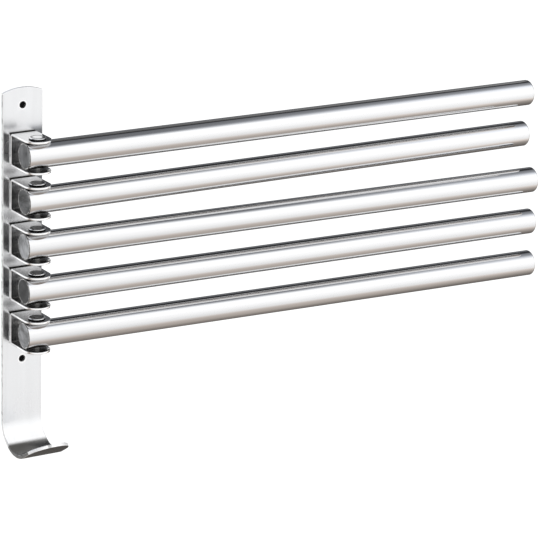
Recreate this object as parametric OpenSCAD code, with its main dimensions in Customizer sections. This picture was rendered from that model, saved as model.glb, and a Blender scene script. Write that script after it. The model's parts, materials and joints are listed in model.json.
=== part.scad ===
// Swing arm towel bar with five arms on one wall strip.
// Lengths are millimetres and angles are degrees.
// X runs along the wall to the right, Y runs into the wall and Z is up.
// The origin is midway between the two screw holes, on the strip's back face.

/* [Wall strip] */
// Width of the steel strip
strip_w = 31; // [28:0.5:38]
// Thickness of the steel strip
strip_t = 2.5; // [1.5:0.1:3]
// Rounding along the edges of the strip
strip_edge_r = 0.4; // [0.2:0.05:0.6]
// Rise of the arched top edge above its corners
crown_rise = 3; // [1:0.5:6]
// Strip above the upper screw hole, up to the arch's corners
top_margin = 9.5; // [6:0.5:16]
// Diameter of the two screw holes
screw_hole_d = 5; // [3.5:0.5:6]
// Height of the upper screw hole above the axis of the top arm
screw_above = 30.5; // [24:0.5:45]
// Depth of the lower screw hole below the axis of the bottom arm
screw_below = 24.5; // [20:0.5:40]

/* [Robe hook] */
// Strip between the lower screw hole and the start of the hook's bend
hook_drop = 43; // [20:1:70]
// Inside radius of the hook's bend
hook_r = 20; // [12:1:26]
// Angle that the strip turns through in the bend
hook_sweep = 122; // [100:1:140]
// Length of the tongue, from the bend to its round tip
tongue_len = 23; // [20:0.5:40]
// How much the faces and edges of the strip are drawn in where it is bent
bend_thinning = 0.04; // [0.02:0.01:0.1]

/* [Clevis brackets] */
// Distance between the axes of neighbouring arms
arm_pitch = 32.5; // [30:0.5:45]
// Thickness of the brackets' sheet
sheet_t = 1.5; // [1:0.1:2]
// Inside radius of the bends between web and ears
bend_r = 1; // [0.5:0.1:2]
// Width of the web and of the ears, which end in a half circle
ear_w = 19.5; // [16:0.5:24]
// Distance from the strip's front face to the pivot axis
pivot_out = 21.5; // [20:0.5:30]
// Gap between the tube and the upper ear
gap_above = 0.3; // [0.2:0.05:0.6]
// Gap between the tube and the lower ear, which the bush bridges
gap_below = 1.2; // [0.6:0.1:2]

/* [Rivets and bushes] */
// Diameter of the rivet's shank
rivet_d = 4; // [3:0.1:5]
// Diameter of the rivet's flat head
head_d = 12; // [9:0.5:14]
// Height of the rivet's flat head
head_h = 1.4; // [1:0.1:2]
// Rounding of the flat head's rim
head_rim_r = 0.6; // [0.2:0.1:0.8]
// Diameter of the head that is peened below the lower ear
peen_d = 7; // [6.5:0.5:9]
// Height of the peened head
peen_h = 1; // [0.6:0.1:1.5]
// Wall of the bush that turns on the rivet
bush_wall = 0.5; // [0.4:0.05:1]

/* [Arms] */
// Outside diameter of the tubes
tube_d = 19; // [16:0.5:22]
// Wall of the tubes
tube_wall = 1; // [0.6:0.1:1.4]
// Cut length of the tubes
tube_len = 420; // [250:5:600]
// Rounding of the outer edge at the tubes' near ends
tube_edge_r = 0.3; // [0.1:0.05:0.5]
// Tube behind the pivot axis
tail = 10; // [9:0.5:12]
// Face thickness of the cup pressed into the near end
cup_face = 1; // [0.8:0.1:2]
// Wall of the skirts inside the tube
skirt_wall = 0.8; // [0.5:0.1:1.2]
// Depth of the near cup's skirt behind its face
cup_depth = 3.5; // [2:0.5:4]
// Depth of the far plug's skirt inside the tube
plug_depth = 9; // [4:0.5:15]
// Thickness of the far plug's head
plug_head = 2; // [1.7:0.1:4]
// Rounding of the far plug's edge
plug_edge_r = 1.5; // [0.5:0.1:1.6]

/* [Swing of each arm] */
// Angle of the top arm out from the wall
swing_1 = 1.1; // [0:0.1:180]
// Angle of the second arm out from the wall
swing_2 = 0.6; // [0:0.1:180]
// Angle of the third arm out from the wall
swing_3 = 2.6; // [0:0.1:180]
// Angle of the fourth arm out from the wall
swing_4 = 2.6; // [0:0.1:180]
// Angle of the bottom arm out from the wall
swing_5 = 2.8; // [0:0.1:180]

/* [Clearances] */
// Radial clearance of the bush on the rivet
run_clear = 0.05; // [0.02:0.01:0.08]
// Radial clearance of parts that are pressed or riveted together
press_clear = 0.02; // [0.01:0.01:0.04]

/* [Hidden] */
$fn = 128;

polished = [0.86, 0.87, 0.88];
satin = [0.78, 0.79, 0.80];
shaded = [0.55, 0.56, 0.58];

// How far a cut runs past the faces that it goes through
overrun = 1;
// How far the straight stretches of the strip run into the ends of the bend
bend_lap = 0.3;

// Heights of the holes and of the arms, measured from the origin
swings = [swing_1, swing_2, swing_3, swing_4, swing_5];
arm_count = len(swings);
screw_spacing = screw_above + (arm_count - 1) * arm_pitch + screw_below;
screw_z = screw_spacing / 2;
function arm_z(i) = screw_z - screw_above - (i - 1) * arm_pitch;

// The strip's arched top is part of a large circle through its two corners
crown_r = (pow(strip_w / 2, 2) + pow(crown_rise, 2)) / (2 * crown_rise);
crown_z = screw_z + top_margin + crown_rise - crown_r;
bend_z = -screw_z - hook_drop;

// The clevis is as tall inside as the tube and its two gaps
tube_r = tube_d / 2;
bore_r = tube_r - tube_wall;
ear_top = tube_r + gap_above;
ear_bottom = -tube_r - gap_below;
clevis_top = ear_top + sheet_t;
clevis_bottom = ear_bottom - sheet_t;
pivot_y = -strip_t - pivot_out;

rivet_r = rivet_d / 2;
bush_in_r = rivet_r + run_clear;
bush_out_r = bush_in_r + bush_wall;

// Square of a by b from the origin, whose corners at the far end of x are rounded by r
module rounded_far_end(a, b, r) {
    square([a - r, b]);
    translate([0, r]) square([a, b - 2 * r]);
    for (y = [r, b - r]) translate([a - r, y]) circle(r);
}

// Cross-section of the strip: x runs across its thickness and y across its width
module strip_section(thinner = 0) {
    e = strip_edge_r - thinner;
    t = strip_t - 2 * thinner;
    w = strip_w - 2 * thinner;
    translate([thinner, -w / 2]) {
        translate([e, 0]) square([t - 2 * e, w]);
        translate([0, e]) square([t, w - 2 * e]);
        for (x = [e, t - e], y = [e, w - e]) translate([x, y]) circle(e);
    }
}

// A stretch of the strip, standing up from height z0 to z1
module upright_strip(z0, z1) {
    translate([0, -strip_t, z0])
        rotate([0, 0, 90])
            linear_extrude(z1 - z0)
                strip_section();
}

// A disc as thick as the strip, with the same rounded edge, lying behind the plane of y = 0
module strip_disc(r, turn = 360) {
    rotate([90, 0, 0])
        rotate_extrude(angle = turn)
            rounded_far_end(r, strip_t, strip_edge_r);
}

// The strip's frame at the hook: x away from the bend's axis, y along the strip, z across it
module at_bend(turn) {
    translate([0, -strip_t - hook_r, bend_z])
        rotate([-90, 0, 90])
            rotate([0, 0, turn])
                children();
}

module arched_top() {
    intersection() {
        upright_strip(crown_z - overrun, crown_z + crown_r + overrun);
        translate([0, 0, crown_z]) strip_disc(crown_r);
    }
}

module hook_bend() {
    at_bend(0)
        rotate_extrude(angle = hook_sweep)
            translate([hook_r, 0]) strip_section(bend_thinning);
}

// The tongue is straight at first and ends in a half circle as wide as the strip
module hook_tongue() {
    flank = tongue_len - strip_w / 2;
    at_bend(hook_sweep) {
        translate([hook_r, -bend_lap, 0])
            rotate([-90, 0, 0])
                linear_extrude(flank + bend_lap)
                    strip_section();
        translate([hook_r, flank, 0])
            rotate([0, 0, 90])
                rotate([0, 90, 0])
                    strip_disc(strip_w / 2, 180);
    }
}

module back_plate() {
    color(satin)
        difference() {
            union() {
                arched_top();
                upright_strip(bend_z - bend_lap, crown_z);
                hook_bend();
                hook_tongue();
            }
            for (z = [-screw_z, screw_z])
                translate([0, overrun, z])
                    rotate([90, 0, 0])
                        cylinder(h = strip_t + 2 * overrun, d = screw_hole_d);
        }
}

// Puts a clevis's own parts on the pivot axis of arm i, at the height of the arm's axis
module at_pivot(i) {
    translate([0, pivot_y, arm_z(i)]) children();
}

// Turns with arm i: x then runs along the arm, from the pivot to the far end
module on_arm(i) {
    at_pivot(i) rotate([0, 0, -swings[i - 1]]) children();
}

// Side view of the clevis: a U of sheet with bent corners, open to the front
module clevis_side() {
    depth = pivot_out + ear_w;
    difference() {
        translate([depth, clevis_bottom])
            mirror([1, 0])
                rounded_far_end(depth, clevis_top - clevis_bottom, bend_r + sheet_t);
        translate([depth + overrun, ear_bottom])
            mirror([1, 0])
                rounded_far_end(depth + overrun - sheet_t, ear_top - ear_bottom, bend_r);
    }
}

// Top view of the clevis, centred on the pivot, with half round ears
module clevis_plan() {
    circle(d = ear_w);
    translate([-ear_w / 2, 0]) square([ear_w, pivot_out]);
}

module bracket(i) {
    color(polished)
        at_pivot(i)
            difference() {
                intersection() {
                    translate([0, pivot_out, 0])
                        rotate([90, 0, -90])
                            linear_extrude(ear_w, center = true)
                                clevis_side();
                    translate([0, 0, clevis_bottom])
                        linear_extrude(clevis_top - clevis_bottom)
                            clevis_plan();
                }
                translate([0, 0, clevis_bottom - overrun])
                    cylinder(h = clevis_top - clevis_bottom + 2 * overrun, r = rivet_r + press_clear);
            }
}

// The rivet's flat head is above the clevis, and its peened head is a low dome below it
module rivet(i) {
    dome_r = (pow(peen_d / 2, 2) + pow(peen_h, 2)) / (2 * peen_h);
    color(polished)
        at_pivot(i) {
            translate([0, 0, clevis_bottom])
                cylinder(h = clevis_top - clevis_bottom, r = rivet_r);
            translate([0, 0, clevis_top])
                rotate_extrude()
                    intersection() {
                        translate([0, -head_rim_r]) rounded_far_end(head_d / 2, head_h + head_rim_r, head_rim_r);
                        square([head_d / 2, head_h]);
                    }
            translate([0, 0, clevis_bottom - peen_h])
                rotate_extrude()
                    intersection() {
                        translate([0, dome_r]) circle(dome_r);
                        square([peen_d / 2, peen_h]);
                    }
        }
}

// The bush stands on the lower ear and holds the tube clear of it
module bush(i) {
    height = tube_d + gap_below;
    color(shaded)
        on_arm(i)
            translate([0, 0, ear_bottom])
                difference() {
                    cylinder(h = height, r = bush_out_r);
                    translate([0, 0, -overrun]) cylinder(h = height + 2 * overrun, r = bush_in_r);
                }
}

// Turns a shape made about z so that it lies along the arm, starting at the tube's near end
module along_tube(i, start = 0) {
    on_arm(i)
        translate([start - tail, 0, 0])
            rotate([0, 90, 0])
                children();
}

module arm_tube(i) {
    color(polished)
        difference() {
            along_tube(i)
                rotate_extrude()
                    difference() {
                        translate([0, tube_len])
                            mirror([0, 1])
                                tube_half_section();
                        translate([0, -overrun]) square([bore_r, tube_len + 2 * overrun]);
                    }
            on_arm(i)
                translate([0, 0, -tube_r - overrun])
                    cylinder(h = tube_d + 2 * overrun, r = bush_out_r + press_clear);
        }
}

// Half of the tube's length section, filled in, with the near end's edge rounded
module tube_half_section() {
    e = tube_edge_r;
    square([tube_r, tube_len - e]);
    square([tube_r - e, tube_len]);
    translate([tube_r - e, tube_len - e]) circle(e);
}

// A skirt that fits in the tube's bore, from its open end up to its face
module skirt(depth) {
    difference() {
        cylinder(h = depth, r = bore_r - press_clear);
        translate([0, 0, -overrun]) cylinder(h = depth + 2 * overrun, r = bore_r - press_clear - skirt_wall);
    }
}

// The near end is closed by a cup whose face is flush with the end of the tube
module inner_cup(i) {
    color(shaded)
        along_tube(i) {
            cylinder(h = cup_face, r = bore_r - press_clear);
            translate([0, 0, cup_face]) skirt(cup_depth);
        }
}

// The far end is closed by a plug with a head as wide as the tube and a soft edge
module outer_plug(i) {
    color(polished)
        along_tube(i, tube_len) {
            rotate_extrude()
                intersection() {
                    translate([0, -plug_edge_r])
                        rounded_far_end(tube_r, plug_head + plug_edge_r, plug_edge_r);
                    square([tube_r, plug_head]);
                }
            translate([0, 0, -plug_depth]) skirt(plug_depth);
        }
}

back_plate();
bracket(1);  // bracket_1
bracket(2);  // bracket_2
bracket(3);  // bracket_3
bracket(4);  // bracket_4
bracket(5);  // bracket_5
rivet(1);  // rivet_1
rivet(2);  // rivet_2
rivet(3);  // rivet_3
rivet(4);  // rivet_4
rivet(5);  // rivet_5
bush(1);  // bush_1
bush(2);  // bush_2
bush(3);  // bush_3
bush(4);  // bush_4
bush(5);  // bush_5
arm_tube(1);  // arm_tube_1
arm_tube(2);  // arm_tube_2
arm_tube(3);  // arm_tube_3
arm_tube(4);  // arm_tube_4
arm_tube(5);  // arm_tube_5
inner_cup(1);  // inner_cup_1
inner_cup(2);  // inner_cup_2
inner_cup(3);  // inner_cup_3
inner_cup(4);  // inner_cup_4
inner_cup(5);  // inner_cup_5
outer_plug(1);  // outer_plug_1
outer_plug(2);  // outer_plug_2
outer_plug(3);  // outer_plug_3
outer_plug(4);  // outer_plug_4
outer_plug(5);  // outer_plug_5
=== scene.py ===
# %% [markdown]
# This lesson dresses a wall rack for towels: a strip of stainless steel that carries five tubes,
# each swinging on a riveted bracket, with the lower end of the strip bent into a hook.
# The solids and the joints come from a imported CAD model. The lesson loads that model as a fixed
# frame, builds a finer surface for each solid, and gives each one its own finish of steel.

# %% Load the frame
import json
import math

import bmesh
import bpy
import numpy as np
from mathutils import Matrix, Vector


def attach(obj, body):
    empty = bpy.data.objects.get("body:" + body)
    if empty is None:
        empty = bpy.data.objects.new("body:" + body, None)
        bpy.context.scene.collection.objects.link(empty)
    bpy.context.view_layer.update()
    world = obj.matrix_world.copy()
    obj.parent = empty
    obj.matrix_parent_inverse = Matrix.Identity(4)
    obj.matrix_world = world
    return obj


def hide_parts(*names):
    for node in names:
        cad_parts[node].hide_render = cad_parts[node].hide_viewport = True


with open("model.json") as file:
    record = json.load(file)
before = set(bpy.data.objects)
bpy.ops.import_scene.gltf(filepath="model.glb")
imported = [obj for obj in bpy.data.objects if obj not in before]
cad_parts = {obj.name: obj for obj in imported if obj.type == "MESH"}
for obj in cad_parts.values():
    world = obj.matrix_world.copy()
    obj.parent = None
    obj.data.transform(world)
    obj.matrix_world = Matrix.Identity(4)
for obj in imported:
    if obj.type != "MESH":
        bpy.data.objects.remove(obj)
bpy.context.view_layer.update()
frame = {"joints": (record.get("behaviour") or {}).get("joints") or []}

scene = bpy.context.scene

# %% [markdown]
# Blender counts in metres and a workshop counts in millimetres, so each size is written in
# millimetres and multiplied once. The heights and the angles of the arms aren't typed again:
# each hinge of the frame already says where its arm turns, and how far it stands from the wall.

# %% Sizes of the real rack
MM = 0.001

STRIP_WIDTH = 31 * MM
STRIP_THICK = 2.5 * MM
STRIP_EDGE = 0.4 * MM
HOLE_EDGE = 0.2 * MM
CROWN_RISE = 3 * MM
CROWN_TOP = 105 * MM
HOLE_RADIUS = 2.5 * MM
HOLE_HEIGHT = 92.5 * MM
BEND_HEIGHT = -135.5 * MM
HOOK_RADIUS = 20 * MM
HOOK_SWEEP = 122
TONGUE_LENGTH = 23 * MM

SHEET_THICK = 1.5 * MM
SHEET_EDGE = 0.3 * MM
SHEET_BEND = 1 * MM
EAR_WIDTH = 19.5 * MM
PIVOT_OUT = 21.5 * MM
EAR_TOP = 9.8 * MM
EAR_BOTTOM = -10.7 * MM

RIVET_RADIUS = 2 * MM
HEAD_RADIUS = 6 * MM
HEAD_HEIGHT = 1.4 * MM
PEEN_RADIUS = 3.5 * MM
PEEN_HEIGHT = 1 * MM
BUSH_INNER = 2.05 * MM
BUSH_OUTER = 2.55 * MM

TUBE_RADIUS = 9.5 * MM
TUBE_BORE = 8.5 * MM
TUBE_LENGTH = 420 * MM
TUBE_TAIL = 10 * MM
CROSS_HOLE = 2.57 * MM
CUP_FACE = 1 * MM
CUP_DEPTH = 4.5 * MM
SKIRT_OUTER = 8.48 * MM
SKIRT_INNER = 7.68 * MM
PLUG_HEAD = 2 * MM
PLUG_DEPTH = 9 * MM
PLUG_EDGE = 1.5 * MM

HOLD = 0.15 * MM
MERGE = 0.002 * MM
SHARP_OVER = math.radians(35)

pivots = [Vector(j["pos_m"]) for j in frame["joints"]]
swings = [-math.radians(j["range_deg"][0]) for j in frame["joints"]]
print("arm heights in mm:", [round(p.z / MM, 1) for p in pivots])
print("arms stand out by degrees:", [round(math.degrees(s), 1) for s in swings])

# %% [markdown]
# Every surface here is a grid: rows of points that a formula places, joined into four-sided
# faces. A piece is a few such patches whose borders meet point on point. They are merged there,
# so that the piece is closed. Each point also keeps three notes for the finish: its place before
# the steel was bent or turned, which the grain follows, how much of an edge it is, which wear
# follows, and how well it is polished, because a press shop polishes only what shows. The polish
# note also carries painted shade, and the edge note, where it is turned up, a painted highlight.

# %% From patches to a piece
def grid_faces(rows, columns, start):
    """Corner numbers of the faces of a grid: two neighbours in a row and the two beside them in the next."""
    r, c = np.meshgrid(np.arange(rows - 1), np.arange(columns - 1), indexing="ij")
    first = start + r * columns + c
    return np.stack([first, first + 1, first + columns + 1, first + columns], -1).reshape(-1, 4)


def make_piece(name, patches, finish, body, nodes):
    """Joins patches of (points, grain places, wear, polish) into one closed mesh that replaces its CAD nodes."""
    starts = np.cumsum([0] + [patch[0].size // 3 for patch in patches])
    faces = np.concatenate([grid_faces(*patch[0].shape[:2], start) for patch, start in zip(patches, starts)])
    points = np.concatenate([patch[0].reshape(-1, 3) for patch in patches])
    mesh = bpy.data.meshes.new(name)
    mesh.from_pydata(points.tolist(), [], faces.tolist())
    place = mesh.attributes.new("grain_place", "FLOAT_VECTOR", "POINT")
    grains = np.concatenate([patch[1].reshape(-1, 3) for patch in patches])
    place.data.foreach_set("vector", grains.astype(np.float32).ravel())
    for column, title in ((2, "edge_wear"), (3, "polish")):
        note = mesh.attributes.new(title, "FLOAT", "POINT")
        values = [np.broadcast_to(patch[column], patch[0].shape[:2]).ravel() for patch in patches]
        note.data.foreach_set("value", np.concatenate(values).astype(np.float32))
    work = bmesh.new()
    work.from_mesh(mesh)
    bmesh.ops.remove_doubles(work, verts=work.verts, dist=MERGE)
    bmesh.ops.recalc_face_normals(work, faces=work.faces)
    open_edges = sum(1 for e in work.edges if len(e.link_faces) != 2)
    work.to_mesh(mesh)
    work.free()
    mesh.polygons.foreach_set("use_smooth", np.ones(len(mesh.polygons), bool))
    mesh.set_sharp_from_angle(angle=SHARP_OVER)
    mesh.materials.append(finish["material"])
    piece = bpy.data.objects.new(name, mesh)
    scene.collection.objects.link(piece)
    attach(piece, body)
    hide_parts(*nodes)
    print(f"{name}: {len(mesh.polygons)} faces, {open_edges} open edges")

# %% [markdown]
# The finishes are shader nodes. A small helper adds a node and fills its inputs, which keeps
# each recipe short: a socket is linked, and a number or colour is set.

# %% A helper for shader nodes
def add_node(tree, kind, inputs=None, **options):
    """Adds one shader node of a kind, sets its options, and links or fills its inputs."""
    node = tree.nodes.new("ShaderNode" + kind)
    for name, value in options.items():
        setattr(node, name, value)
    for name, value in (inputs or {}).items():
        named = (s for s in node.inputs if s.enabled and s.name == name)
        socket = next(named) if isinstance(name, str) else node.inputs[name]
        if isinstance(value, bpy.types.NodeSocket):
            tree.links.new(value, socket)
        else:
            socket.default_value = value
    return node


def maths(tree, operation, a, b=0.0):
    """The result socket of one sum on two numbers or sockets."""
    return add_node(tree, "Math", {0: a, 1: b}, operation=operation).outputs[0]


def remap(tree, value, first, last, low, high):
    """Goes straight from low to high while the value goes from first to last, and stays there outside."""
    span = {"Value": value, "From Min": first, "From Max": last, "To Min": low, "To Max": high}
    return add_node(tree, "MapRange", span).outputs[0]


def mix(tree, share, first, last, kind="RGBA"):
    """The first colour where the share is 0 and the last one where it is 1; numbers are mixed as FLOAT."""
    node = add_node(tree, "Mix", {"Factor": share, "A": first, "B": last}, data_type=kind)
    return next(socket for socket in node.outputs if socket.enabled)


def scaled(tree, vector, factors):
    """A vector with each of its numbers multiplied by its own factor."""
    return add_node(tree, "VectorMath", {0: vector, 1: factors}, operation="MULTIPLY").outputs[0]


def noise(tree, place, scale=1.0, **inputs):
    """A soft noise from 0 to 1 at a place, with its other inputs by name."""
    return add_node(tree, "TexNoise", {"Vector": place, "Scale": scale, **inputs}).outputs[0]


def new_material(name):
    """A material with an empty node tree, and that tree."""
    material = bpy.data.materials.new(name)
    material.use_nodes = True
    material.node_tree.nodes.clear()
    return material, material.node_tree


def start_group(name, numbers, outputs):
    """A new node group with a Place, named numbers and named outputs, and its input node and output node."""
    group = bpy.data.node_groups.new(name, "ShaderNodeTree")
    group.interface.new_socket("Place", in_out="INPUT", socket_type="NodeSocketVector")
    for title, value in numbers.items():
        group.interface.new_socket(title, in_out="INPUT", socket_type="NodeSocketFloat").default_value = value
    for title in outputs:
        group.interface.new_socket(title, in_out="OUTPUT", socket_type="NodeSocketFloat")
    return group, group.nodes.new("NodeGroupInput"), group.nodes.new("NodeGroupOutput")


print("shader helpers are ready")

# %% [markdown]
# Stainless strip and tube leave the mill with a grain: fine lines as long as a finger, all one
# way. A noise stretched far more along the line than across it gives such lines. Two sizes are
# mixed: hairlines that soften a reflection, and broader streaks that slightly change the tone.
# Several finishes need it, so it is a group, and it hands out plain numbers only.

# %% Grain group
STREAKS_PER_HAIRLINE = (0.3, 0.11, 0.11)
HAIRLINE_SHARE = 0.35

group, given, made = start_group("steel_grain", {"Lines per metre": 2500.0, "Stretch": 60.0}, ["Height", "Tone"])
across = given.outputs["Lines per metre"]
along = maths(group, "DIVIDE", across, given.outputs["Stretch"])
counts = add_node(group, "CombineXYZ", {"X": along, "Y": across, "Z": across}).outputs[0]
place = scaled(group, given.outputs["Place"], counts)
hairline = noise(group, place, Detail=3.0, Roughness=0.6)
streak = noise(group, scaled(group, place, STREAKS_PER_HAIRLINE), Detail=2.0)
group.links.new(hairline, made.inputs["Height"])
shares = (maths(group, "MULTIPLY", hairline, HAIRLINE_SHARE), maths(group, "MULTIPLY", streak, 1 - HAIRLINE_SHARE))
group.links.new(maths(group, "ADD", *shares), made.inputs["Tone"])
grain_group = group
print("grain group:", len(group.nodes), "nodes")

# %% [markdown]
# Rivet heads and bushes are turned, so their marks are rings round their own axis.
# The distance from the axis goes through a one-dimensional noise, which has no seam anywhere.

# %% Turned rings group
WIDE_RINGS = 0.15

group, given, made = start_group("turned_rings", {"Rings per metre": 4000.0}, ["Height", "Tone"])
flat = scaled(group, given.outputs["Place"], (1.0, 1.0, 0.0))
reach = add_node(group, "VectorMath", {0: flat}, operation="LENGTH").outputs["Value"]
rings = maths(group, "MULTIPLY", reach, given.outputs["Rings per metre"])
wide_rings = maths(group, "MULTIPLY", rings, WIDE_RINGS)
fine = add_node(group, "TexNoise", {"W": rings, "Scale": 1.0, "Detail": 2.0}, noise_dimensions="1D")
wide = add_node(group, "TexNoise", {"W": wide_rings, "Scale": 1.0}, noise_dimensions="1D")
group.links.new(fine.outputs[0], made.inputs["Height"])
group.links.new(wide.outputs[0], made.inputs["Tone"])
ring_group = group
print("ring group:", len(group.nodes), "nodes")

# %% [markdown]
# Handling leaves two more traces on all the steel. Edges are rubbed brighter, in uneven patches,
# and broad faces carry faint smears where fingers and cloths have passed. The edge trace needs
# the note that each point carries, broken up by a noise, and the smears are a large soft noise.

# %% Wear group
SMEARS_PER_PATCH = 0.12

group, given, made = start_group("handling_wear", {"Edge": 0.0, "Patches per metre": 300.0}, ["Rubbed", "Smear"])
place, patches = given.outputs["Place"], given.outputs["Patches per metre"]
uneven = remap(group, noise(group, place, patches, Detail=4.0), 0.25, 0.52, 0.0, 1.0)
smears = maths(group, "MULTIPLY", patches, SMEARS_PER_PATCH)
smear = remap(group, noise(group, place, smears, Detail=2.0, Distortion=0.6), 0.3, 0.7, 0.0, 1.0)
group.links.new(maths(group, "MULTIPLY", uneven, given.outputs["Edge"]), made.inputs["Rubbed"])
group.links.new(smear, made.inputs["Smear"])
wear_group = group
print("wear group:", len(group.nodes), "nodes")

# %% [markdown]
# One recipe serves every steel here. Metallic is fully on, because bare steel has no other
# layer. The polish note mixes two states of the steel: polished and glossy, or dark and dull,
# which stands for the scale of pressing and bending and also carries painted shade. Grain or
# rings feed a very low bump and a change of tone, and smears vary the gloss. Rubbed edges go
# brighter where they are polished at all, which is wear and, where it is turned up strongly, a
# painted highlight, and a cut edge can have a rougher gloss than the faces.

# %% Steel recipe
RUBBED_AND_HIGHLIGHT = (0.9, 0.9, 0.9, 1.0)
BLACK = (0.0, 0.0, 0.0, 1.0)


def make_steel(slot, polished, dull, tone, count, depth, marks=grain_group, stretch=None, wear_and_highlight=1.0, edge_gloss=None):
    """A steel finish. polished and dull are each (colour, roughness), tone is how much the marks darken, marks is
    the grain or the ring group, depth is the height of its bump, and edge_gloss is the roughness of cut edges."""
    material, tree = new_material(slot + "_steel")
    notes = (("grain_place", "Vector"), ("edge_wear", "Fac"), ("polish", "Fac"))
    place, edge, polish = (add_node(tree, "Attribute", attribute_name=note).outputs[kind] for note, kind in notes)
    lines = add_node(tree, "Group", {"Place": place}, node_tree=marks)
    lines.inputs[1].default_value = count
    if stretch:
        lines.inputs["Stretch"].default_value = stretch
    wear = add_node(tree, "Group", {"Place": place, "Edge": edge}, node_tree=wear_group)
    steel = mix(tree, polish, (*dull[0], 1.0), (*polished[0], 1.0))
    streaked = mix(tree, remap(tree, lines.outputs["Tone"], 0.38, 0.62, tone, 0.0), steel, BLACK)
    bright = maths(tree, "MULTIPLY", maths(tree, "MULTIPLY", wear.outputs["Rubbed"], wear_and_highlight), polish)
    colour = mix(tree, bright, streaked, RUBBED_AND_HIGHLIGHT)
    gloss = mix(tree, polish, dull[1], polished[1], "FLOAT")
    if edge_gloss:
        gloss = mix(tree, remap(tree, edge, 0.85, 1.0, 0.0, 1.0), gloss, edge_gloss, "FLOAT")
    uneven = maths(tree, "ADD", wear.outputs["Smear"], lines.outputs["Tone"])
    rough = maths(tree, "MULTIPLY", gloss, remap(tree, uneven, 0.3, 1.7, 0.75, 1.25))
    bump = add_node(tree, "Bump", {"Height": lines.outputs["Height"], "Strength": 1.0, "Distance": depth})
    look = {"Base Color": colour, "Metallic": 1.0, "Roughness": rough, "Normal": bump.outputs[0]}
    shader = add_node(tree, "BsdfPrincipled", look)
    add_node(tree, "OutputMaterial", {"Surface": shader.outputs[0]})
    print(f"{material.name}: roughness {polished[1]} polished, {dull[1]} dull")
    return {"material": material, "slot": slot}

# %% [markdown]
# The finishes differ as the pieces do. The strip is satin with its grain along its length, the
# brackets are polished sheet whose inner faces carry painted shade, the tubes are polished with a
# faint grain along them, the rivet heads are bright over a nearly black state that carries
# painted shade, the bushes are left as turned, and the end discs are ground and grey. On the
# other pieces the dull state is a brownish black, used for scale and, on the strip and the
# brackets, for painted shade.

# %% The six finishes
light, dark = (0.75, 0.75, 0.755), (0.055, 0.052, 0.046)
micron = 0.001 * MM
strip_steel = make_steel(
    "strip", ((0.79, 0.795, 0.805), 0.24), (dark, 0.32), tone=0.04,
    count=2600, depth=0.8 * micron, stretch=70, wear_and_highlight=2.5, edge_gloss=0.5)
# The brackets' cut edges are brightened strongly, a painted highlight, and their dull state carries only painted shade.
bracket_steel = make_steel(
    "bracket", (light, 0.09), (dark, 0.34), tone=0.09, count=3200, depth=0.6 * micron, stretch=40, wear_and_highlight=4.0)
tube_steel = make_steel(
    "tube", (light, 0.075), (dark, 0.3), tone=0.03, count=2200, depth=0.5 * micron, stretch=120)
# The rivets' nearly black dull state carries only painted shade.
rivet_steel = make_steel(
    "rivet", (light, 0.08), ((0.015, 0.015, 0.014), 0.3), tone=0.04,
    count=3000, depth=0.8 * micron, marks=ring_group, wear_and_highlight=2.0)
bush_steel = make_steel(
    "bush", ((0.42, 0.42, 0.42), 0.14), (dark, 0.3), tone=0.1, count=5000, depth=1 * micron, marks=ring_group)
disc_steel = make_steel(
    "end_disc", ((0.485, 0.495, 0.51), 0.34), ((0.036, 0.037, 0.038), 0.4), tone=0.75,
    count=1400, depth=4 * micron, stretch=5, wear_and_highlight=0.3)

# %% [markdown]
# The strip and the brackets are sheet steel, so they are made as a press makes them: a flat
# blank with rounded cut edges is laid out, and then folded. It is half as wide as the piece and
# mirrored, because both are symmetric. Rows run from a middle line to the outline, and the
# middle line opens round each hole, which gives a true round hole in a grid.

# %% Flat blanks
# Where a face has its rows, as shares of the way from the middle line to the cut edge.
ACROSS = (0, 0.08, 0.35, 0.65, 0.68, 0.87, 1)


def edge_path(thick, rounding, steps=6):
    """The cut edge of a sheet as insets from the outline, depths and wear: a quarter circle, a flat and another."""
    turn = np.linspace(0, np.pi / 2, steps + 1)
    inset = rounding * (1 - np.sin(turn))
    depth = rounding * (1 - np.cos(turn))
    wear = np.sin(turn)
    return np.r_[inset, inset[::-1]], np.r_[depth, thick - depth[::-1]], np.r_[wear, wear[::-1]]


def blank_rows(outline, middle, thick, rounding, hole_rounding):
    """Half of a blank, in rows from the middle over the outer face, round the cut edge and back over the inner face."""
    inset, depth, wear = edge_path(thick, rounding)
    near, far = middle(hole_rounding + HOLD), outline(rounding + HOLD)
    face = [middle(hole_rounding)] + [near + (far - near) * share for share in ACROSS]
    flat = np.stack(face + [outline(i) for i in inset] + face[::-1], 1)
    plain = np.zeros(len(face))
    notes = (np.r_[plain, depth, plain + thick], np.r_[plain, wear, plain])
    return flat, *(np.broadcast_to(note, flat.shape[:2]) for note in notes)


def hole_rows(middle, first, last, thick, rounding):
    """Half of a hole's wall, between two row numbers of the middle line: a cut edge's path, turned inwards."""
    inset, depth, wear = edge_path(thick, rounding)
    flat = np.stack([middle(i)[first:last] for i in inset], 1)
    return flat, np.broadcast_to(depth, flat.shape[:2]), np.broadcast_to(wear, flat.shape[:2])


print("points round a cut edge:", len(edge_path(STRIP_THICK, STRIP_EDGE)[0]))

# %% [markdown]
# Folding carries the blank along straight and bent legs. On a straight leg a point keeps its
# place along the leg and its depth. On a bent leg it lies on a circle about the bend's axis,
# whose radius is the inside radius plus what is left of the thickness below it.

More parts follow.
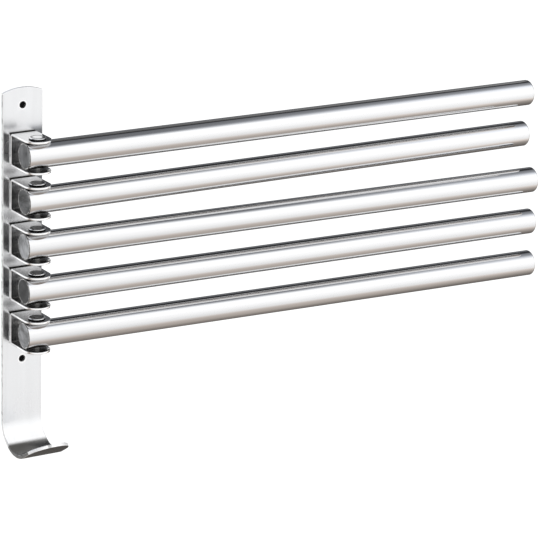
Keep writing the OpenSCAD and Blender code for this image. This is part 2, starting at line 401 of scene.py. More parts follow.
# %% Folding a blank
def folded(along, depth, start, heading, legs, thick):
    """Reach and height of points on a chain of legs (length, degrees, inside radius), whose bends turn clockwise."""
    out, up = np.zeros(along.shape), np.zeros(along.shape)
    corner, angle, passed = np.array(start, float), math.radians(heading), 0.0
    for length, sweep, inside in legs:
        here = along >= passed - MERGE
        ahead = np.array([math.cos(angle), math.sin(angle)])
        inward = np.array([ahead[1], -ahead[0]])
        if sweep:
            axis = corner + (inside + thick) * inward
            turned = angle - (along - passed) / length * math.radians(sweep)
            radius = inside + thick - depth
            out = np.where(here, axis[0] - radius * np.sin(turned), out)
            up = np.where(here, axis[1] + radius * np.cos(turned), up)
            angle -= math.radians(sweep)
            corner = axis + (inside + thick) * np.array([-math.sin(angle), math.cos(angle)])
        else:
            out = np.where(here, corner[0] + (along - passed) * ahead[0] + depth * inward[0], out)
            up = np.where(here, corner[1] + (along - passed) * ahead[1] + depth * inward[1], up)
            corner = corner + length * ahead
        passed += length
    return out, up


def fold_patch(patch, side, centre, start, heading, legs, thick, polish_of):
    """A patch of the blank in its place: x is the place across, mirrored by side, and y and z come from folding."""
    flat, depth, wear = patch
    along, across = flat[..., 0], side * flat[..., 1]
    out, up = folded(along, depth, start, heading, legs, thick)
    points = np.stack([centre + across, out, up], -1)
    return points, np.stack([along, across, depth], -1), wear, polish_of(along, across, depth)


def ramp(value, first, last):
    """0 up to first, 1 from last, and between them three times the square of the share less twice its cube."""
    share = np.clip((value - first) / (last - first), 0, 1)
    return share * share * (3 - 2 * share)


def band(value, rise, full, fade, gone):
    """0 up to rise, 1 from full to fade, and 0 again from gone, with smooth slopes."""
    return ramp(value, rise, full) * (1 - ramp(value, fade, gone))


def bend_length(sweep, inside, thick):
    """Length of a bent leg along the middle of its thickness: the angle times the radius there."""
    return math.radians(sweep) * (inside + thick / 2)


print("the hook's bend takes in mm:", round(bend_length(HOOK_SWEEP, HOOK_RADIUS, STRIP_THICK) / MM, 2))

# %% [markdown]
# The strip's blank has an arched top, two screw holes and a round tongue. Its outline and its
# middle line are chains of stretches with the same number of points, so that each point of one
# belongs to a point of the other. Insets move the outline inwards all round, the arch by its
# radius and the sides by their distance, which keeps the two corners crisp.

# %% Outline of the strip's blank
crown_radius = ((STRIP_WIDTH / 2) ** 2 + CROWN_RISE**2) / (2 * CROWN_RISE)
upper_hole = CROWN_TOP - HOLE_HEIGHT
lower_hole = CROWN_TOP + HOLE_HEIGHT
bend_start = CROWN_TOP - BEND_HEIGHT
bend_end = bend_start + bend_length(HOOK_SWEEP, HOOK_RADIUS, STRIP_THICK)
tongue_centre = bend_end + TONGUE_LENGTH - STRIP_WIDTH / 2
beside_hole = 9 * MM
counts = dict(arch=17, shoulder=17, long_run=13, lower_hole=33, short_run=9, bend=73, flank=4, tongue=33)
SHARES = {name: np.linspace(0, 1, count) for name, count in counts.items()}

# Extra rows: just above each bracket, where a painted shade line lies in the crease, and close to the holes.
STEP_OFF = 1.2 * MM
crease_tops = np.array([CROWN_TOP - (p.z + EAR_TOP + SHEET_THICK) for p in pivots])
near_crease = crease_tops[:, None] + np.array([-0.55, -0.35, 0.3]) * MM - (upper_hole + beside_hole)
long_run = lower_hole - upper_hole - 2 * beside_hole
step = STEP_OFF / long_run
SHARES["long_run"] = np.sort(np.r_[SHARES["long_run"], near_crease.ravel() / long_run, step, 1 - step])
SHARES["short_run"] = np.insert(SHARES["short_run"], 1, STEP_OFF / (bend_start - lower_hole - beside_hole))
print("points along one half of the strip:", sum(len(shares) for shares in SHARES.values()))


def arc_points(centre, radius, turn):
    """Points on a circle about a place on the middle line: turn 0 is its upper side, and a half turn its lower."""
    return np.stack([centre - radius * np.cos(turn), radius * np.sin(turn)], -1)


def line_points(first, last, half, share):
    """Points on a line along the strip, at a distance half from the middle."""
    return np.stack([first + (last - first) * share, np.full(share.shape, half)], -1)


def straight_runs(ends, half, shares):
    """Lines one after another, each from one of the ends to the next, with its own shares of the way."""
    return [line_points(first, last, half, share) for first, last, share in zip(ends, ends[1:], shares)]


def strip_outline(inset):
    half, radius = STRIP_WIDTH / 2 - inset, crown_radius - inset
    across = SHARES["arch"] * half
    arch = np.stack([crown_radius - np.sqrt(radius**2 - across**2), across], -1)
    ends = (
        arch[-1, 0], upper_hole + beside_hole, lower_hole - beside_hole, lower_hole + beside_hole,
        bend_start, bend_end, tongue_centre)
    names = ("shoulder", "long_run", "lower_hole", "short_run", "bend", "flank")
    side = straight_runs(ends, half, [SHARES[name] for name in names])
    return np.concatenate([arch, *side, arc_points(tongue_centre, half, np.pi / 2 * (1 + SHARES["tongue"]))])


def strip_middle(inset):
    hole, clear = HOLE_RADIUS + inset, HOLE_RADIUS + HOLE_EDGE + HOLD
    last_names = ("bend", "flank", "tongue")
    off_hole = np.array([clear, clear + STEP_OFF])
    between = line_points(upper_hole + beside_hole, lower_hole - beside_hole, 0, SHARES["long_run"])
    between[:2, 0], between[-2:, 0] = upper_hole + off_hole, lower_hole - off_hole[::-1]
    below = line_points(lower_hole + beside_hole, bend_start, 0, SHARES["short_run"])
    below[:2, 0] = lower_hole + off_hole
    return np.concatenate([
        arc_points(upper_hole, hole, np.pi / 2 * SHARES["arch"]),
        arc_points(upper_hole, hole, np.pi / 2 * (1 + SHARES["shoulder"])),
        between,
        arc_points(lower_hole, hole, np.pi * SHARES["lower_hole"]),
        below,
        *straight_runs((bend_start, bend_end, tongue_centre, tongue_centre), 0, [SHARES[n] for n in last_names]),
    ])

# %% [markdown]
# The strip is satin where a belt could reach. Its darker marks are each noted as less polish:
# scale in the holes, and painted shade inside the bend and under it, on the cut sides, faintly
# where the bend begins, in a grey stretch on the tip's rim, in a line above each bracket and in a
# faint band above the first. Each mark is a product of slopes along, across and through the
# sheet, and the strongest wins. A bright ring round each hole is a painted highlight.

# %% Fold the strip
# How dark the strongest mark gets, for scale and for painted shade alike.
FULL_DARKENING = 0.95


def bend_place(degrees):
    """How far along the blank a given angle of the hook's bend lies."""
    return bend_start + bend_length(degrees, HOOK_RADIUS, STRIP_THICK)


def hole_reach(along, across):
    """The distance to the middle of the nearer screw hole."""
    return np.minimum(np.hypot(along - upper_hole, across), np.hypot(along - lower_hole, across))


def strip_polish_and_shade(along, across, depth):
    """How well each point of the strip is polished: 1 less the strongest of its marks, most of them painted shade."""
    half, past = STRIP_WIDTH / 2, along - tongue_centre
    inside = ramp(depth, 0.05 * STRIP_THICK, 0.15 * STRIP_THICK)
    on_edge = ramp(np.abs(across), half - 0.2 * MM, half - 0.1 * MM)
    on_rim = ramp(np.hypot(past, across), half - 0.3 * MM, half - 0.2 * MM)
    # Painted shade on the inner floor of the hook, from about 50 degrees of the bend on, lighter towards one side.
    floor_end = bend_place(97)
    last = floor_end + (tongue_centre + 0.5 * MM - floor_end) * on_edge
    scale = band(along, bend_place(50), bend_place(60), last, last + 3 * MM) * inside
    scale *= 1 - 0.16 * ramp(across, -8 * MM, 14 * MM)
    # Painted shade: faint where the bend begins, on the cut sides, under the bend, and on a stretch of the tip's rim.
    bend_start_shade = 0.07 * band(along, bend_start, bend_start + 3 * MM, bend_start, bend_place(35))
    cut_side_shade = 0.72 * on_edge * band(along, 3 * MM, 4 * MM, bend_end, bend_end + 5 * MM)
    painted_under_shade = 0.97 * ramp(along, bend_place(60), bend_place(90)) * (1 - inside)
    tip_rim_shade = 0.85 * band(np.arctan2(past, -across), 1.15, 1.20, 1.36, 1.42) * on_rim
    bored = 1 - ramp(hole_reach(along, across), HOLE_RADIUS, HOLE_RADIUS + 0.1 * MM)
    bored *= 1 - ramp(depth, 0.86 * STRIP_THICK, 0.94 * STRIP_THICK)
    # Painted shade: a line in the crease above each bracket, and a faint band above the first.
    below = along[..., None] - crease_tops
    crease_line_shade = band(below, -0.55 * MM, -0.35 * MM, 0.3 * MM, 0.6 * MM).max(-1) * inside
    crease_line_shade *= 1 - ramp(np.abs(across), 9.8 * MM, 10.1 * MM)
    shade = 0.22 * band(below[..., 0], -5.6 * MM, -5.0 * MM, -1.5 * MM, 0) * inside
    return 1 - FULL_DARKENING * np.maximum.reduce([scale, bored, bend_start_shade, cut_side_shade, painted_under_shade, tip_rim_shade, crease_line_shade, shade])


def hole_ring_highlight(patch):
    """The same rows of a blank, with a ring of face round each screw hole raised in the edge note, a painted highlight.
    """
    flat, depth, wear = patch
    # A painted highlight: a bright ring round each screw hole.
    ring = 1 - ramp(hole_reach(flat[..., 0], flat[..., 1]), HOLE_RADIUS + 0.2 * MM, HOLE_RADIUS + 1.3 * MM)
    return flat, depth, np.maximum(wear, 0.8 * ring)


legs = [(bend_start, 0, 0), (bend_end - bend_start, HOOK_SWEEP, HOOK_RADIUS), (TONGUE_LENGTH, 0, 0)]
upper_end = len(SHARES["arch"]) + len(SHARES["shoulder"])
lower_first = upper_end + len(SHARES["long_run"])
blank = [
    hole_ring_highlight(blank_rows(strip_outline, strip_middle, STRIP_THICK, STRIP_EDGE, HOLE_EDGE)),
    hole_rows(strip_middle, 0, upper_end, STRIP_THICK, HOLE_EDGE),
    hole_rows(strip_middle, lower_first, lower_first + len(SHARES["lower_hole"]), STRIP_THICK, HOLE_EDGE),
]
placing = (0.0, (0, CROWN_TOP), -90, legs, STRIP_THICK, strip_polish_and_shade)
patches = [fold_patch(rows, side, *placing) for rows in blank for side in (1, -1)]
make_piece("wall_strip_with_hook", patches, strip_steel, "wall_strip", ["back_plate"])

# %% [markdown]
# A bracket is a U of thinner sheet. Its blank is a bar with two round ends, each pierced for
# the rivet, and it is folded twice: down from the upper ear into the web, which lies flat on
# the strip, and forward again into the lower ear. Its outer faces and edges are bright. Painted
# shade darkens it inside the U, more towards the lower ear but not on that ear's front rim, in
# the crease at the strip, under the lower ear and along one cut edge of the upper ear, and a
# little on the upper ears of all brackets but the first.

# %% Brackets
ear_half = EAR_WIDTH / 2
ear_run = PIVOT_OUT - SHEET_THICK - SHEET_BEND
web_run = EAR_TOP - EAR_BOTTOM - 2 * SHEET_BEND
fold_run = bend_length(90, SHEET_BEND, SHEET_THICK)
fold_1 = ear_half + ear_run
fold_2 = fold_1 + fold_run + web_run
lower_eye = fold_2 + fold_run + ear_run
rivet_hole = RIVET_RADIUS + 0.02 * MM
beside_rivet = 6 * MM
quarter, run, fold = np.linspace(0, 1, 19), np.linspace(0, 1, 5), np.linspace(0, 1, 17)


def bracket_outline(inset):
    half = ear_half - inset
    ends = (
        ear_half, ear_half + beside_rivet, fold_1, fold_1 + fold_run,
        fold_2, fold_2 + fold_run, lower_eye - beside_rivet, lower_eye)
    side = straight_runs(ends, half, (quarter, run, fold, run, fold, run, quarter))
    last = arc_points(lower_eye, half, np.pi / 2 * (1 + quarter))
    return np.concatenate([arc_points(ear_half, half, np.pi / 2 * quarter), *side, last])


def bracket_middle(inset):
    hole, clear = rivet_hole + inset, rivet_hole + HOLE_EDGE + HOLD
    ends = (ear_half + clear, fold_1, fold_1 + fold_run, fold_2, fold_2 + fold_run, lower_eye - clear)
    between = straight_runs(ends, 0, (run, fold, run, fold, run))
    upper, lower = ([arc_points(eye, hole, np.pi / 2 * (n + quarter)) for n in (0, 1)] for eye in (ear_half, lower_eye))
    return np.concatenate([*upper, *between, *lower])


def bracket_polish_and_shade(along, across, depth, upper_ear_shade):
    """How well each point of a bracket is polished, less its painted shade; upper_ear_shade is that shade on the upper
    ear.
    """
    share, upper = depth / SHEET_THICK, along < fold_2
    lower_leg = ramp(along, fold_2, fold_2 + fold_run)
    rim = lower_leg * ramp(np.hypot(along - lower_eye, across), 0.74 * ear_half, 0.82 * ear_half)
    rim *= along > lower_eye - ear_half
    darker_down = 0.45 * ramp(along, fold_1, fold_2) + 0.38 * ramp(along, lower_eye - 5 * MM, lower_eye - 1 * MM)
    # Painted shade inside the U, darker downwards and on the lower ear, kept off the lower ear's front rim.
    shaded = ramp(share, 0.8, 1) * (0.15 + darker_down) * (1 - rim)
    # Painted shade in the fold's crease at the strip, on the upper ears, under the lower ear and along one cut edge.
    fold_crease_shade = ramp(along, fold_1 - 0.1 * fold_run, fold_1 + 0.15 * fold_run) * (1 - ramp(share, 0.5, 0.8)) * upper
    above = upper_ear_shade * (1 - ramp(share, 0.05, 0.15)) * upper
    painted_under_shade = 0.6 * lower_leg * (1 - ramp(share, 0.1, 0.3))
    cut_edge_shade = FULL_DARKENING * ramp(across, ear_half - 0.29 * MM, ear_half - 0.2 * MM)
    cut_edge_shade *= band(along, 0.75 * ear_half, 0.95 * ear_half, fold_1, fold_1 + fold_run)
    return 1 - np.maximum.reduce([shaded, fold_crease_shade, above, painted_under_shade, cut_edge_shade])


def make_bracket(number, pivot):
    bend = (fold_run, 90, SHEET_BEND)
    legs = [(fold_1, 0, 0), bend, (web_run, 0, 0), bend, (ear_run + ear_half, 0, 0)]
    eye, total = 2 * len(quarter), len(bracket_middle(0))
    blank = [
        blank_rows(bracket_outline, bracket_middle, SHEET_THICK, SHEET_EDGE, HOLE_EDGE),
        hole_rows(bracket_middle, 0, eye, SHEET_THICK, HOLE_EDGE),
        hole_rows(bracket_middle, total - eye, total, SHEET_THICK, HOLE_EDGE),
    ]
    start = (pivot.y - ear_half, pivot.z + EAR_TOP + SHEET_THICK)
    # Painted shade on the upper ears of all brackets but the first.
    upper_ear_shade = 0.0 if number == 1 else 0.25
    polish = lambda *place: bracket_polish_and_shade(*place, upper_ear_shade)
    placing = (pivot.x, start, 0, legs, SHEET_THICK, polish)
    patches = [fold_patch(rows, side, *placing) for rows in blank for side in (1, -1)]
    make_piece(f"clevis_bracket_{number}", patches, bracket_steel, "wall_strip", [f"bracket_{number}"])


for number, pivot in enumerate(pivots, 1):
    make_bracket(number, pivot)

# %% [markdown]
# Rivets, bushes, cups and plugs are turned. Each is a profile of corners, and every corner is
# replaced by an arc of its own radius, because a perfectly sharp edge never catches light.
# The profile is then carried round an axis, and closes on itself after a full turn.

# %% Turned pieces
def softened(corners, radii, steps=6):
    """A chain of corners, each replaced by an arc that touches both of its sides; a corner of radius 0 stays."""
    corners = np.array(corners, float)
    share = np.linspace(0, 1, steps + 1)[:, None]
    line, wear = [], []
    for before, corner, after, radius in zip(np.roll(corners, 1, 0), corners, np.roll(corners, -1, 0), radii):
        if not radius:
            line.append(corner[None])
            wear.append([0.0])
            continue
        back, ahead = ((side - corner) / np.linalg.norm(side - corner) for side in (before, after))
        half = math.acos(np.clip(back @ ahead, -1, 1)) / 2
        centre = corner + (back + ahead) / np.linalg.norm(back + ahead) * radius / math.sin(half)
        touch, span = radius / math.tan(half), math.pi - 2 * half
        first, last = corner + back * touch - centre, corner + ahead * touch - centre
        arc = (first * np.sin((1 - share) * span) + last * np.sin(share * span)) / math.sin(span)
        held = touch + HOLD / 3
        line += [(corner + back * held)[None], centre + arc, (corner + ahead * held)[None]]
        wear += [[0.0], np.sin(np.pi * share[:, 0]), [0.0]]
    return np.concatenate(line), np.concatenate(wear)


def turned_patch(profile, wear, segments=96):
    """Points at each radius and height of a profile, carried round the axis by the cosine and sine of the turn."""
    turn = np.linspace(0, 2 * np.pi, segments + 1)
    radius, height = profile[:, :1], profile[:, 1:]
    points = np.stack([radius * np.cos(turn), radius * np.sin(turn), height + 0 * turn], -1)
    return points, points, wear[:, None], 1.0


print("points round a soft corner:", len(softened([(0, 0), (1, 0), (1, 1)], [0, 0.1, 0])[0]) - 2)

# %% [markdown]
# A rivet has a flat head with a well rounded rim above the bracket, a shank through both ears,
# and a low dome below, where its end was hammered over. Painted shade darkens the lower part of
# the head's side and what lies below it, and a painted dark reflection covers its top, so what
# shines is the rim. On the first rivet the top carries a lighter painted ring instead of a full disc.

# %% Rivets
PEEN_EDGE = 0.1 * MM
HEAD_UNDER_EDGE = 0.6 * MM
HEAD_EDGE = 0.75 * MM
# The rows of the top face, and where its painted dark reflection lies: from, to, both in mm from the axis, and how
# dark.
TOP_ROWS = (4.9, 4.6, 3.6, 3.3)
TOP_DARK_DISC = (-1, 4.6, 0.94)
TOP_DARK_RING = (3.6, 4.9, 0.72)


def make_rivet(number, pivot):
    top, bottom = EAR_TOP + SHEET_THICK, EAR_BOTTOM - SHEET_THICK
    face = top + HEAD_HEIGHT
    dome_radius = (PEEN_RADIUS**2 + PEEN_HEIGHT**2) / (2 * PEEN_HEIGHT)
    lean = np.linspace(0, math.asin(PEEN_RADIUS / dome_radius) * 0.97, 12)
    dome = np.stack([dome_radius * np.sin(lean), bottom - PEEN_HEIGHT + dome_radius * (1 - np.cos(lean))], -1)
    corners = [
        dome[-1], (PEEN_RADIUS, bottom), (RIVET_RADIUS, bottom), (RIVET_RADIUS, top),
        (HEAD_RADIUS, top), (HEAD_RADIUS, face), (0, face)]
    rest, rest_wear = softened(corners, [0, PEEN_EDGE, 0, 0, HEAD_UNDER_EDGE, HEAD_EDGE, 0])
    top_rows = np.array([(reach * MM, face) for reach in TOP_ROWS])
    profile = np.r_[dome[:-1], rest[:-1], top_rows, rest[-1:]]
    profile_wear = np.r_[np.zeros(len(dome) - 1), rest_wear[:-1], np.zeros(len(TOP_ROWS) + 1)]
    points, grain, wear, _ = turned_patch(profile, profile_wear)
    reach, height = profile.T
    # Painted shade on the lower part of the head's side and below, and a painted dark reflection on its top.
    undercut_shade = (1 - ramp(height, top + 0.92 * MM, top + 1.04 * MM)) * (height > bottom + MERGE)
    first, last, scale = TOP_DARK_RING if number == 1 else TOP_DARK_DISC
    top_dark = scale * band(reach / MM, first - 0.3, first, last, last + 0.3) * (height > face - 0.1 * MM)
    polish = 1 - np.maximum(undercut_shade, top_dark)[:, None]
    patches = [(points + np.array(pivot), grain, wear, polish)]
    make_piece(f"rivet_{number}_flat_head", patches, rivet_steel, "wall_strip", [f"rivet_{number}"])


for number, pivot in enumerate(pivots, 1):
    make_rivet(number, pivot)

# %% [markdown]
# Everything on an arm is first placed about the pivot with x along the tube, and then turned
# about the pivot by the angle at which that arm stands. The grain keeps the unturned places,
# so its lines run along each tube and not along the wall.

# %% Placing a piece on its arm
def on_arm(patches, number):
    """Turns patches about the pivot by the arm's angle: x and y mix by its cosine and sine. The grain stays."""
    angle, pivot = swings[number - 1], np.array(pivots[number - 1])
    turn = np.array([[math.cos(angle), math.sin(angle), 0], [-math.sin(angle), math.cos(angle), 0], [0, 0, 1]])
    return [(points @ turn.T + pivot, *notes) for points, *notes in patches]


def along_tube(patch, start):
    """Lays a turned patch down: its height becomes the distance along the tube."""
    points, *notes = patch
    laid = np.stack([points[..., 2] + start, points[..., 0], points[..., 1]], -1)
    return laid, *notes


def make_on_arm(name, node, number, patches, finish):
    """A piece that rides on its arm, and replaces the arm's node of that name."""
    make_piece(name, on_arm(patches, number), finish, f"arm_{number}", [f"{node}_{number}"])


ARMS = range(1, len(pivots) + 1)
print("arms:", list(ARMS))

# %% [markdown]
# A thin bush stands on each lower ear and goes up through its tube, which it carries. Only its
# foot shows, as a small turned ring under the tube. Its profile ends where it began.

# %% Bushes
def make_bush(number):
    corners = [(BUSH_INNER, EAR_BOTTOM), (BUSH_OUTER, EAR_BOTTOM), (BUSH_OUTER, TUBE_RADIUS), (BUSH_INNER, TUBE_RADIUS)]
    line, wear = softened(corners, [0.08 * MM] * 4, 3)
    patch = turned_patch(np.r_[line, line[:1]], np.r_[wear, wear[:1]], segments=64)
    make_on_arm(f"bush_{number}_turned", "bush", number, [patch], bush_steel)


for number in ARMS:
    make_bush(number)

# %% [markdown]
# A tube is a skin and a bore, joined at both ends, and pierced above and below by the bush.
# It is made as a quarter and mirrored. Each row runs round the tube from its top line to its
# side, and where it crosses the hole it starts at the hole's rim instead, whose angle is the
# arc sine of the distance from the middle divided by the tube's radius.

# %% Tubes
ROUND_END = 0.3 * MM
CUT_POLISH = 0.05
pierce = np.linspace(0, np.pi, 25)


def tube_line(radius, first, last):
    """Places along the tube and starting angles at one radius, with rows that part round the cross hole."""
    before = np.linspace(first, -CROSS_HOLE, 4)[:-1]
    after = np.linspace(CROSS_HOLE, last, 22)[1:]
    along = np.r_[before, -CROSS_HOLE * np.cos(pierce), after]
    rim = np.arcsin(CROSS_HOLE * np.sin(pierce) / radius)
    return along, np.r_[np.zeros(len(before)), rim, np.zeros(len(after))]


def tube_quarter():
    """The skin from its near end outwards, then the bore back again, as a quarter of the round."""
    near, far = -TUBE_TAIL, TUBE_LENGTH - TUBE_TAIL
    turn = np.linspace(0, np.pi / 2, 6)
    skin, skin_rim = tube_line(TUBE_RADIUS, near + ROUND_END + HOLD, far)
    bore, bore_rim = tube_line(TUBE_BORE, near, far)
    along = np.r_[near, near + ROUND_END * (1 - np.cos(turn)), skin, bore[::-1]]
    rounded = TUBE_RADIUS - ROUND_END * (1 - np.sin(turn))
    radius = np.r_[TUBE_BORE, rounded, np.full(len(skin), TUBE_RADIUS), np.full(len(bore), TUBE_BORE)]
    rim = np.r_[np.zeros(1 + len(turn)), skin_rim, bore_rim[::-1]][:, None]
    cut = CUT_POLISH + (1 - CUT_POLISH) * ramp(turn, 1.35, 1.57)
    polish = np.r_[CUT_POLISH, cut, np.ones(len(skin) + len(bore))]
    angle = rim + (np.pi / 2 - rim) * np.linspace(0, 1, 33)
    side, up = radius[:, None] * np.sin(angle), radius[:, None] * np.cos(angle)
    return np.stack([along[:, None] + 0 * angle, side, up], -1), 0.0, polish[:, None]


def cross_hole_wall():
    """Half of the cross hole's wall: each point of the skin's rim joined to the one below it in the bore."""
    side = CROSS_HOLE * np.sin(pierce)[:, None]
    up = np.sqrt(np.array([TUBE_RADIUS, TUBE_BORE]) ** 2 - side**2)
    return np.stack([-CROSS_HOLE * np.cos(pierce)[:, None] + 0 * up, side + 0 * up, up], -1), 0.0, 1.0


def make_tube(number):
    patches = []
    for points, *notes in (tube_quarter(), cross_hole_wall()):
        for mirror in ((1, 1, 1), (1, -1, 1), (1, 1, -1), (1, -1, -1)):
            placed = points * np.array(mirror)
            patches.append((placed, placed, *notes))
    make_on_arm(f"swing_tube_{number}", "arm_tube", number, patches, tube_steel)


for number in ARMS:
    make_tube(number)

# %% [markdown]
# The near end of each tube is closed by a ground disc whose skirt is pressed into the bore. The
# discs weren't ground alike, so each has its own share of polish, and its grain lies its own
# way. The far end has a plug as wide as the tube, with a soft edge.

# %% Discs and plugs
DISC_POLISH = (0.33, 0.24, 0.95, 0.03, 0.77)


def make_cup(number):
    corners = [
        (0, 0), (SKIRT_OUTER, 0), (SKIRT_OUTER, CUP_DEPTH),
        (SKIRT_INNER, CUP_DEPTH), (SKIRT_INNER, CUP_FACE), (0, CUP_FACE)]
    points, grain, wear, _ = turned_patch(*softened(corners, [0, 0.15 * MM, 0.1 * MM, 0.1 * MM, 0.1 * MM, 0], 4))
    lean = math.radians(25 + 70 * number)
    x, y, z = np.moveaxis(grain, -1, 0)
    cosine, sine = math.cos(lean), math.sin(lean)
    ground = np.stack([x * cosine + y * sine, y * cosine - x * sine, z + 0.1 * number], -1)
    patch = along_tube((points, ground, wear, DISC_POLISH[number - 1]), -TUBE_TAIL)
    make_on_arm(f"end_disc_{number}_near", "inner_cup", number, [patch], disc_steel)


def make_plug(number):
    corners = [
        (0, PLUG_HEAD), (TUBE_RADIUS, PLUG_HEAD), (TUBE_RADIUS, 0), (SKIRT_OUTER, 0),
        (SKIRT_OUTER, -PLUG_DEPTH), (SKIRT_INNER, -PLUG_DEPTH), (SKIRT_INNER, 0), (0, 0)]
    line = softened(corners, [0, PLUG_EDGE, 0, 0, 0.1 * MM, 0.1 * MM, 0.1 * MM, 0], 10)
    patch = along_tube(turned_patch(*line, segments=128), TUBE_LENGTH - TUBE_TAIL)
    make_on_arm(f"end_plug_{number}_far", "outer_plug", number, [patch], tube_steel)


for number in ARMS:
    make_cup(number)
    make_plug(number)

# %% [markdown]
# Polished steel has hardly any colour of its own: it shows the studio round it, and the world is
# that studio. The camera sees plain white. Metal sees the same white behind the rack, a large
# soft box in front and above, and between them the room: a cool, dim ceiling, and a warm floor
# that falls off below. The angle round the rack's long axis picks the grey from three curves,
# for mirror images that look left or straight ahead, that look right, and that look further
# along the tubes. Steel gives back about seven tenths of the light, so the soft box is above 1.

# %% The studio as metal sees it
STUDIO = {
    "left": [
        (-180, 0.9), (-165, 1.15), (-152, 1.15), (-130, 0.5), (-100, 0.25), (-70, 0.35), (-45, 0.75), (-20, 1.05),
        (0, 1.2), (30, 1.36), (60, 1.3), (75, 0.5), (90, 0.2), (115, 0.2), (130, 1.0), (165, 1.1), (180, 0.9),
    ],
    "near": [
        (-180, 0.15), (-175, 0.8), (-168, 1.1), (-152, 1.1), (-147, 0.3), (-140, 0.15), (-130, 0.14), (-114, 0.24),
        (-94, 0.3), (-79, 0.46), (-66, 0.52), (-54, 0.58), (-43, 0.74), (-36, 0.96), (-30, 1.03), (-22, 1.08),
        (-12, 1.18), (-3, 1.25), (6, 1.31), (16, 1.36), (30, 1.38), (54, 1.38), (61, 0.9), (70, 0.4), (78, 0.2),
        (88, 0.2), (98, 0.2), (106, 0.17), (113, 0.05), (119, 0.024), (134, 0.024), (144, 0.06), (151, 0.28),
        (156, 0.28), (160, 0.08), (170, 0.06), (180, 0.15),
    ],
    "far": [
        (-180, 0.15), (-175, 0.8), (-168, 1.1), (-152, 1.1), (-147, 0.3), (-140, 0.13), (-130, 0.12), (-114, 0.16),
        (-94, 0.22), (-79, 0.3), (-66, 0.4), (-54, 0.68), (-43, 0.96), (-32, 1.09), (-22, 1.17), (-12, 1.25),
        (-3, 1.31), (6, 1.35), (16, 1.38), (30, 1.38), (62, 1.38), (72, 1.2), (83, 0.62), (94, 0.36), (106, 0.32),
        (113, 0.13), (119, 0.055), (134, 0.035), (144, 0.08), (151, 0.3), (156, 0.3), (160, 0.1), (170, 0.06),
        (180, 0.15),
    ],
}
BRIGHTEST = 1.5
# How far to the right a mirror image looks where the next curve takes over, as the x of its direction.
NEAR_FADE_IN = (0.38, 0.43)
FAR_FADE_IN = (0.466, 0.57)
MATT_LEVEL = 0.9
WHITE = (1.0, 1.0, 1.0, 1.0)
COOL = (0.95, 0.985, 1.06, 1.0)
WARM = (1.10, 0.985, 0.90, 1.0)


def ring_of_greys(tree, share, table):
    """A curve through the greys of one table, as a function of the angle round the rack."""
    node = add_node(tree, "FloatCurve", {"Value": share})
    curve = node.mapping.curves[0]
    places = [((degrees + 180) / 360, level / BRIGHTEST) for degrees, level in table]
    curve.points[0].location, curve.points[-1].location = places[0], places[-1]
    for place in places[1:-1]:
        curve.points.new(*place)
    for point in curve.points:
        point.handle_type = "VECTOR"
    node.mapping.update()
    return maths(tree, "MULTIPLY", node.outputs[0], BRIGHTEST)


world = bpy.data.worlds.new("studio")
scene.world = world
world.use_nodes = True
tree = world.node_tree
tree.nodes.clear()
direction = add_node(tree, "TexCoord").outputs["Generated"]
way = add_node(tree, "SeparateXYZ", {"Vector": direction})
angle = maths(tree, "ARCTAN2", way.outputs["Z"], maths(tree, "MULTIPLY", way.outputs["Y"], -1.0))
share = remap(tree, angle, -math.pi, math.pi, 0, 1)
level, near, far = (ring_of_greys(tree, share, STUDIO[name]) for name in ("left", "near", "far"))
for grey, fade_in in ((near, NEAR_FADE_IN), (far, FAR_FADE_IN)):
    level = mix(tree, remap(tree, way.outputs["X"], *fade_in, 0, 1), level, grey, "FLOAT")
above, low_front, low_back = (
    remap(tree, angle, math.radians(first), math.radians(last), 0, 1)
    for first, last in ((50, 75), (-30, -52), (-150, -125)))
cool = mix(tree, above, WHITE, COOL)
tinted = mix(tree, maths(tree, "MULTIPLY", low_front, low_back), cool, WARM)
ray = add_node(tree, "LightPath")
mirrored = maths(tree, "MAXIMUM", ray.outputs["Is Glossy Ray"], ray.outputs["Is Transmission Ray"])
reflected = mix(tree, mirrored, MATT_LEVEL, level, "FLOAT")
strength = mix(tree, ray.outputs["Is Camera Ray"], reflected, 1.0, "FLOAT")
tint = mix(tree, mirrored, WHITE, tinted)
glow = add_node(tree, "Background", {"Color": tint, "Strength": strength})
add_node(tree, "OutputWorld", {"Surface": glow.outputs[0]})
print("world:", sum(len(table) for table in STUDIO.values()), "greys round the rack")

# %% [markdown]
# The rack hangs at the height of a wall rack, so the floor lies well below it. The floor is pale
# and matt, it keeps the rack's faint shadow, and its colour is lifted to white where it is seen.
# A flat dark disc behind each screw hole is painted shade, which darkens the holes as if a wall
# stood behind them. Floor and discs have no back, so the rack shows from below, and the holes
# stay open from behind.

# %% Floor and screw holes
FLOOR_HEIGHT = -1.35
FLOOR_HALF = 30.0


def finish_one_sided(tree, front):
    """Gives the material its output: the front's shader, and nothing from behind."""
    back = add_node(tree, "NewGeometry").outputs["Backfacing"]
    clear = add_node(tree, "BsdfTransparent").outputs[0]
    surface = add_node(tree, "MixShader", {0: back, 1: front, 2: clear})
    add_node(tree, "OutputMaterial", {"Surface": surface.outputs[0]})


def stage_material(name, colour, lift):
    """A matt paint whose colour is lifted to white where the camera or a mirror sees it."""
    material, tree = new_material(name)
    matt = add_node(tree, "BsdfDiffuse", {"Color": (*colour, 1.0)})
    ray = add_node(tree, "LightPath")
    mirrored = maths(tree, "MAXIMUM", ray.outputs["Is Glossy Ray"], ray.outputs["Is Transmission Ray"])
    seen = maths(tree, "MAXIMUM", ray.outputs["Is Camera Ray"], mirrored)
    glow = add_node(tree, "Emission", {"Color": WHITE, "Strength": maths(tree, "MULTIPLY", seen, lift)})
    surface = add_node(tree, "AddShader", {0: matt.outputs[0], 1: glow.outputs[0]})
    finish_one_sided(tree, surface.outputs[0])
    return material


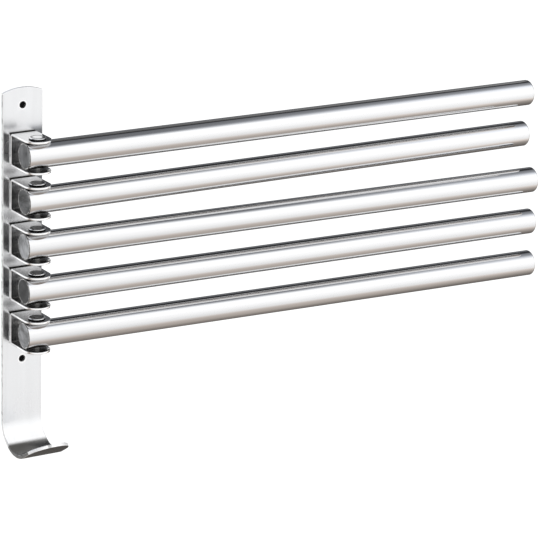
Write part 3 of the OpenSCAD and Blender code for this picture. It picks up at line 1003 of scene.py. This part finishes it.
def stage_mesh(name, points, material):
    mesh = bpy.data.meshes.new(name)
    mesh.from_pydata(points, [], [tuple(range(len(points)))])
    mesh.materials.append(material)
    thing = bpy.data.objects.new(name, mesh)
    scene.collection.objects.link(thing)
    return thing


corners = [(x * FLOOR_HALF, y * FLOOR_HALF, FLOOR_HEIGHT) for x, y in ((-1, -1), (1, -1), (1, 1), (-1, 1))]
floor = stage_mesh("floor", corners, stage_material("floor_paint", (0.8, 0.8, 0.8), 0.4))
floor.visible_glossy = False
# Painted shade: a dark disc behind each screw hole.
hole_shade = stage_material("hole_shade", (0.012, 0.012, 0.013), 0.0)
round_turn = np.linspace(0, 2 * np.pi, 49)[:-1]
disc_radius = 2 * HOLE_RADIUS
for name, height in (("upper", HOLE_HEIGHT), ("lower", -HOLE_HEIGHT)):
    rim = [(disc_radius * math.cos(t), 0.3 * MM, height + disc_radius * math.sin(t)) for t in round_turn]
    stage_mesh(f"hole_shade_{name}", rim, hole_shade)
print("floor at", FLOOR_HEIGHT, "m")

# %% [markdown]
# Two small cards help the mirrors, as they do on a real set. A white one hangs above the hook
# and lights the start of its bend, and a long grey one stands behind the uppermost tube, whose
# top has no other tube to mirror. Only reflections see them, and only from their front.

# %% Cards for the mirrors
def card_material(name, first_level, last_level, length):
    """A one-sided glow whose level goes from one value to the other along x."""
    material, tree = new_material(name)
    place = add_node(tree, "TexCoord").outputs["Object"]
    along = add_node(tree, "SeparateXYZ", {"Vector": place}).outputs["X"]
    level = remap(tree, along, 0.0, length, first_level, last_level)
    glow = add_node(tree, "Emission", {"Color": WHITE, "Strength": level})
    finish_one_sided(tree, glow.outputs[0])
    return material


def hang_card(name, corners, material):
    card = stage_mesh(name, [tuple(value * MM for value in corner) for corner in corners], material)
    card.visible_camera = card.visible_diffuse = card.visible_shadow = False
    print(name, "faces", [round(v, 2) for v in card.data.polygons[0].normal])


white_card = card_material("card_white", 1.3, 1.3, 1.0)
grey_card = card_material("card_grey", 0.12, 0.26, 0.42)
hang_card("card_above_hook", [(-16, -2.6, -92), (80, -2.6, -92), (80, -64, -92), (-16, -64, -92)], white_card)
hang_card("card_behind_top", [(18, -1, 88), (440, -1, 88), (440, -1, 112), (18, -1, 112)], grey_card)

# %% [markdown]
# One large soft lamp stands in front, above and to the left, inside the bright part of the
# studio. It only shapes the floor's shadow and adds a little to what the soft box gives.

# %% Soft lamp
lamp = bpy.data.lights.new("soft_lamp", "AREA")
lamp.shape = "SQUARE"
lamp.size = 1.6
lamp.energy = 2.5
stand = bpy.data.objects.new("soft_lamp", lamp)
stand.location = (-0.6, -2.2, 1.6)
stand.rotation_mode = "QUATERNION"
stand.rotation_quaternion = (Vector((0.2, 0, 0)) - stand.location).to_track_quat("-Z", "Y")
scene.collection.objects.link(stand)
print("lamp:", lamp.energy, "W over", lamp.size, "m")

# %% [markdown]
# The camera stands where the photograph was taken from: to the left, above, and some way off,
# with a long lens. Its place and its turn were fitted to the edges of the tubes and the strip.

# %% Camera
CAMERA_LENS = 220.76
CAMERA_PLACE = Vector((-1.04111, -1.96948, 0.66336))
CAMERA_RIGHT = Vector((0.84844, -0.52871, 0.02481))
CAMERA_UP = Vector((0.13608, 0.26320, 0.95510))

data = bpy.data.cameras.new("photo_camera")
data.sensor_width = 36
data.lens = CAMERA_LENS
data.clip_end = 100
camera = bpy.data.objects.new("photo_camera", data)
right = CAMERA_RIGHT.normalized()
back = right.cross(CAMERA_UP).normalized()
up = back.cross(right)
turn = Matrix((right, up, back)).transposed()
camera.matrix_world = Matrix.Translation(CAMERA_PLACE) @ turn.to_4x4()
scene.collection.objects.link(camera)
scene.camera = camera
print("camera looks", [round(-v, 3) for v in back])
scene.view_settings.view_transform = "Standard"
